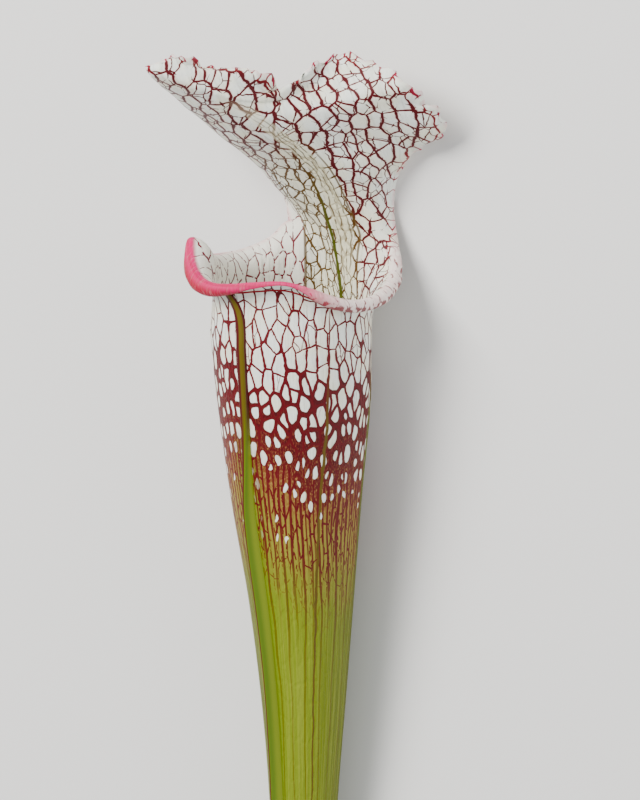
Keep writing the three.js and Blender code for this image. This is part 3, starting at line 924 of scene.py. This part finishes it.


# The hood: brown veins at its midrib, redder veins at its margins, a pale fold beside the midrib with fine
# furrows that are painted dark as shade
def colorHood(at, pale):
    olived = both(fade(at.rib, 9, 6), fade(at.rib, -17, -12), fade(at.along, 64, 40))
    veinColor = blend(olived, tone.hoodVein, tone.oliveVein)
    veinColor = blend(fade(at.margin, 4, 0), veinColor, tone.marginVein)
    color = blend(both(at.halo, without(olived)), pale, tone.halo)
    color = blend(at.net, color, veinColor)
    fold = both(fade(at.rib, 0.9, 1.9), fade(at.rib, 6.4, 5.2), fade(at.along, 2, 14),
                fade(at.along, 92, 56))
    foldLines = calc("PINGPONG", scaled(at.slow, 4, at.rib), 0.72)
    at.foldLines = both(fade(foldLines, 0.3, 0.06), fold, fade(at.medium, 0.25, 0.55))
    return blend(both(fold, 0.62), color, tone.foldCream)


# The pale windows on the tube: whole cells at the mouth, which shrink to ovals further down
def placeWindows(at):
    drop = scaled(at.slow, 16, scaled(at.medium, 4, minus(at.v, 10)))
    ebb = minus(drop, fade(at.u, -44, -66, 0, 9))
    drop = minus(drop, fade(at.u, -48, -70, -7, 4))
    at.drop = minus(drop, fade(at.u, 52, 68, 0, 7))
    own = scaled(at.cell, 0.5, 0.7)
    gap = scaled(fade(ebb, -4, -44, 0, 0.4), minus(1.8, own), at.stout)
    oval = calc("MULTIPLY", fade(ebb, 4, -38, 0.92, 0.4), fade(ebb, -34, -64, 1, 0.45))
    inOval = calc("MULTIPLY", minus(calc("MULTIPLY", oval, own), at.centre), 3.4)
    inCell = scaled(fade(ebb, -6, -26), minus(at.cellEdge, at.first), at.first)
    room = calc("SMOOTH_MIN", minus(inCell, gap), inOval, 0.9)
    kept = calc("GREATER_THAN", at.cell, fade(ebb, -38, -78, -0.05, 1.1))
    at.besideWing = both(fade(calc("ABSOLUTE", at.u), 67, 73), fade(at.drop, -32, -56))
    at.window = both(fade(room, -0.14, 0.02), kept, without(at.besideWing))
    at.offWindow = without(at.window)


# The tube's ground below the windows: dark red, which turns rust and olive, and then green
def colorGround(at):
    red = blend(fade(at.drop, *marks.rust), tone.tubeGround, tone.rust)
    mottle = both(fade(drawnOut(at.place, 2.4, 1), 0.48, 0.62), fade(at.drop, -10, -40), 0.8)
    red = blend(mottle, red, blend(fade(at.drop, *marks.tan), tone.rust, tone.tan))
    # Painted shade: the green darkens to olive as u falls from 60 to 24 mm, on the flank turned away from the
    # light
    green = blend(fade(at.u, 60, 24), tone.yellowGreen, tone.darkOlive)
    green = blend(both(fade(at.stripes, 0.42, 0.62), 0.5), green, tone.paleGreen)
    ground = blend(fade(at.drop, *marks.olive), red, tone.olive)
    ground = blend(fade(at.drop, *marks.green), ground, green)
    return blend(both(at.besideWing, 0.7), ground, tone.wingGreen)


# The tube's veins: the net round the windows, short veins across the belt, and long ones down it
def drawTubeVeins(at, color):
    plain = both(fade(at.margin, 5, 14), fade(at.drop, -24, -10))
    nearRim = both(fade(at.margin, 4.2, 3.4), fade(at.v, 0, 6), at.offHood)
    upperNet = either(at.mainVein, both(at.thinVein, plain))
    upperNet = both(upperNet, fade(at.drop, -46, -30), without(both(nearRim, 0.85)))
    crossVein = line(at.second, fade(at.drop, -40, -90, 0.34, 0.2))
    crossVein = both(crossVein, fade(at.drop, -30, -42), fade(at.drop, -96, -66),
                     fade(grain(at.place, 0.5, 1), 0.4, 0.46), at.offWindow)
    color = blend(either(upperNet, crossVein), color, tone.tubeVein)

    spacing = marks.longSpacing
    wander = scaled(drawnOut(at.place, 0.07, 0.02), 6, at.u)

    def longLines(shift, apart, half):
        return line(calc("PINGPONG", calc("ADD", wander, shift), apart / 2), half)

    longVein = either(longLines(0, spacing, fade(at.drop, -60, -120, 0.5, 0.42)),
                      both(longLines(spacing / 2, spacing, 0.42), fade(at.drop, -108, -70)),
                      both(longLines(spacing / 4, spacing / 2, 0.32), fade(at.drop, -78, -58)))
    longVein = both(longVein, fade(at.drop, -30, -44), fade(at.drop, -120, -66, 0.55, 0.95),
                    at.offWindow)
    longColor = blend(fade(at.drop, -62, -92), tone.tubeVein, tone.brownVein)
    color = blend(longVein, color, longColor)
    arch = both(lineAt(at.margin, marks.archAt, 0.34), fade(at.v, 0, 8), at.offHood)
    return blend(arch, color, tone.archVein)


# Two broad olive veins run the whole way down its right flank
def drawBroadVeins(at, color):
    left, right = marks.broadVeins
    sway = scaled(at.slow, 2, scaled(calc("MAXIMUM", at.v, -110), 0.06, at.u))
    broad = either(lineAt(sway, right, fade(at.v, 4, -40, 0.2, 0.5)),
                   lineAt(at.u, left, fade(at.v, -4, -44, 0.2, 2.2)))
    broadColor = blend(fade(at.u, 36, 30), tone.broadVein, tone.darkOlive)
    broadColor = blend(fade(at.v, -8, -36), tone.tubeVein, broadColor)
    return blend(both(broad, fade(at.v, 8, 0)), color, broadColor)


# Inside the throat: a pale wall with broken veins, greener further down
def colorThroat(at):
    broken = both(line(at.first, fade(at.margin, 1, 8, 0.12, 0.25)),
                  fade(grain(at.place, 0.7, 1), 0.36, 0.46))
    throat = blend(broken, tone.throatWall, tone.throatVein)
    return blend(fade(at.v, -10, -60), throat, tone.innerGreen)


# The midrib: a green line with a longer vein on each side of it; the fold's furrows beside it are painted
# olive as shade
def drawMidrib(at, color):
    far, near = marks.sideVeins
    sideVein = either(lineAt(at.rib, far, 0.36), lineAt(at.rib, near, 0.3))
    sideVein = both(sideVein, fade(at.along, -8, 0), fade(at.along, 66, 46))
    color = blend(both(either(at.foldLines, sideVein), 0.85, at.inside), color, tone.oliveVein)
    half = both(at.uneven, fade(at.along, 60, 0, 0.25, 0.7))
    midrib = both(line(at.fromRib, half), fade(at.along, -40, -10), fade(at.along, 72, 44))
    midribColor = blend(fade(at.along, 20, 46), tone.midribGreen, tone.oliveVein)
    return blend(midrib, color, midribColor)


# The rolled rim: pink round the spout, whitish with red marks at its underside elsewhere
def colorRim(at, color):
    at.rim = both(fade(at.margin, 1.2, -0.4), either(at.offHood, fade(at.along, 25, 16)))
    at.pleats = drawnOut(at.place, 1.9, 0.35, 3)
    under = scaled(at.pleats, 2.4, at.margin)
    spots = grain(at.place, 0.6, 1)
    rays = line(calc("PINGPONG", scaled(at.slow, 9, at.u), marks.raySpacing / 2), 0.17)
    rays = both(rays, fade(spots, 0.47, 0.54), fade(at.margin, 0.4, -0.6))
    redMarks = both(fade(under, -1.5, -2), fade(spots, 0.44, 0.5))
    whitish = blend(both(fade(at.medium, 0.45, 0.7), 0.12), tone.rimPale, tone.rimPink)
    whitish = blend(both(either(redMarks, rays), 0.88), whitish, tone.marginVein)
    # The pink deepens towards the roll's underside: partly the rim's own deeper red, partly painted shade
    # under the roll
    pink = blend(fade(under, 0.2, -2.6), tone.rimPink, tone.rimDeep)
    pink = blend(both(fade(at.pleats, 0.5, 0.3), 0.12), pink, tone.rimPale)
    # Painted shade: a deeper red line along the rim's crease
    creaseShade = lineAt(at.margin, marks.creaseAt, 0.3)
    pink = blend(both(creaseShade, 0.4), pink, tone.rimDeep)
    spout = either(fade(at.u, -34, -52), fade(at.u, 40, 58))
    color = blend(at.rim, color, blend(spout, whitish, pink))
    edge = both(fade(at.margin, 0.6, -0.8), fade(at.along, 16, 25), fade(at.medium, 0.35, 0.6), 0.3)
    return blend(edge, color, tone.rimPink)


# Relief, in mm: areoles stand a little between the veins, and the leaf is finely furrowed
def leafRelief(at):
    dome = calc("MULTIPLY", fade(at.first, 0, 1.4), marks.domeTall)
    pleated = calc("MULTIPLY", both(at.pleats, at.rim), marks.pleatTall)
    furrows = scaled(at.stripes, marks.stripeTall, pleated)
    furrows = scaled(both(at.streaks, at.hood), marks.streakTall, furrows)
    relief = calc("ADD", scaled(at.fine, marks.grainTall, dome), furrows)
    return scaled(at.foldLines, marks.foldDeep, relief)


def makeLeafSkin():
    material, skin = startMaterial("leafSkin")
    at = readLeaf()
    placeNets(at)
    drawVeins(at)
    pale = colorPale(at)
    hoodColor = colorHood(at, pale)
    placeWindows(at)
    tubeColor = blend(at.window, colorGround(at), pale)
    tubeColor = drawBroadVeins(at, drawTubeVeins(at, tubeColor))
    tubeColor = blend(at.inside, tubeColor, colorThroat(at))
    color = drawMidrib(at, blend(at.hood, tubeColor, hoodColor))
    color = colorRim(at, color)
    feed(skin["Base Color"], blend(fade(at.cut, 0.02, 0.08), color, tone.cutFace))
    feed(skin["Normal"], addNode("Bump", {"Distance": mm, "Height": leafRelief(at)})[0])
    feed(skin["Roughness"], scaled(at.fine, 0.2, 0.42))
    print("leafSkin", len(material.node_tree.nodes), "nodes")
    return material


wingLooks = {
    # The dark red beside the crown also stands as painted shade on the wing's left flank
    "centre": (92, 78, 2), "redBorderAndShade": (76, 0, 6), "flank": (88, 120, 0), "foot": (126, 142, 18),
    "freeEdge": (84, 10, 4),
    # how far round the wing's section its crown and its free edge have their lines
    "crownAt": 0.59, "edgeAt": 0.49,
}


def makeWingSkin():
    material, skin = startMaterial("wingSkin")
    centre, redBorderAndShade, flank, foot, freeEdge = (
        sRgb(*wingLooks[name]) for name in ("centre", "redBorderAndShade", "flank", "foot", "freeEdge"))
    place, turn, along = readMap()
    turn = calc("DIVIDE", turn, 2 * math.pi * mapRadius)  # 0.5 is the free edge
    out = scaled(calc("COSINE", calc("MULTIPLY", turn, 2 * math.pi)), -0.5, 0.5)
    streak = drawnOut(place, 0.3, 0.05)
    crown = calc("ABSOLUTE", minus(turn, wingLooks["crownAt"]))
    # The dark red round the crown: partly the wing's own red, partly painted shade on its left flank
    upperColor = blend(fade(crown, 0.105, 0.075), redBorderAndShade, centre)
    lowerColor = blend(fade(out, 0.8, 0.4), flank, foot)
    lowerColor = blend(both(streak, 0.35), lowerColor, foot)
    edge = fade(calc("ABSOLUTE", minus(turn, wingLooks["edgeAt"])), 0.06, 0.04)
    lowerColor = blend(both(edge, fade(along, -350, -250)), lowerColor, freeEdge)
    feed(skin["Base Color"], blend(fade(along, -22, -46), upperColor, lowerColor))
    feed(skin["Roughness"], scaled(streak, 0.2, 0.36))
    return material


def makeHairSkin():
    material, skin = startMaterial("hairSkin")
    feed(skin["Base Color"], (0.86, 0.85, 0.8, 1))
    feed(skin["Roughness"], 0.5)
    return material


leaf = makeLeaf()
leaf.data.materials.append(makeLeafSkin())
makeWing().data.materials.append(makeWingSkin())
makeHairs(leaf).data.materials.append(makeHairSkin())

# Floor, light and camera
studio = {
    "eyeTilt": 14, "eyeAway": 1500, "middle": (9, -27.8, 0), "tall": 240,
    "floorHalf": 3.0, "floorColor": (0.82, 0.81, 0.79, 1), "floorRough": 0.8,
    # name, metres from the leaf towards the camera, to the side and up, size, watts, colour
    "lights": [
        ("softKey", 1.2, -1.2, 0.8, 0.9, 62, (1, 0.98, 0.95)),
        ("softFill", 1.0, 1.3, -0.2, 1.5, 12, (0.95, 0.97, 1)),
    ],
    "skyColor": (0.9, 0.92, 0.95, 1), "skyStrength": 0.75,
}


def makeFloor():
    mesh = bmesh.new()
    bmesh.ops.create_grid(mesh, x_segments=1, y_segments=1, size=studio["floorHalf"])
    floor = placeMesh("floor", mesh)
    material = bpy.data.materials.new("paleFloor")
    material.use_nodes = True
    skin = material.node_tree.nodes["Principled BSDF"].inputs
    feed(skin["Base Color"], studio["floorColor"])
    feed(skin["Roughness"], studio["floorRough"])
    floor.data.materials.append(material)


def makeCamera():
    tilt = math.radians(studio["eyeTilt"])
    turn = layMatrix.to_3x3().normalized()
    towards = turn @ Vector((0, math.sin(tilt), math.cos(tilt)))
    up = turn @ Vector((0, math.cos(tilt), -math.sin(tilt)))
    side = up.cross(towards)
    aim = layMatrix @ Vector(studio["middle"])
    data = bpy.data.cameras.new("camera")
    data.lens = data.sensor_width * studio["eyeAway"] / studio["tall"]
    data.clip_end = 20
    camera = placeObject("camera", data)
    basis = Matrix((side, up, towards)).transposed().to_4x4()
    camera.matrix_world = Matrix.Translation(aim + towards * studio["eyeAway"] * mm) @ basis
    bpy.context.scene.camera = camera
    return aim, towards, up, side


def makeLight(name, place, target, size, power, color):
    data = bpy.data.lights.new(name, "AREA")
    data.size = size
    data.energy = power
    data.color = color
    facing = (place - target).to_track_quat("Z", "Y").to_matrix().to_4x4()
    placeObject(name, data).matrix_world = Matrix.Translation(place) @ facing


def makeSky():
    world = bpy.data.worlds.new("studio")
    world.use_nodes = True
    sky = world.node_tree.nodes["Background"].inputs
    feed(sky["Color"], studio["skyColor"])
    feed(sky["Strength"], studio["skyStrength"])
    bpy.context.scene.world = world


makeFloor()
aim, towards, up, side = makeCamera()
for name, front, right, above, *light in studio["lights"]:
    makeLight(name, aim + towards * front + side * right + up * above, aim, *light)
makeSky()
print("studio ready")
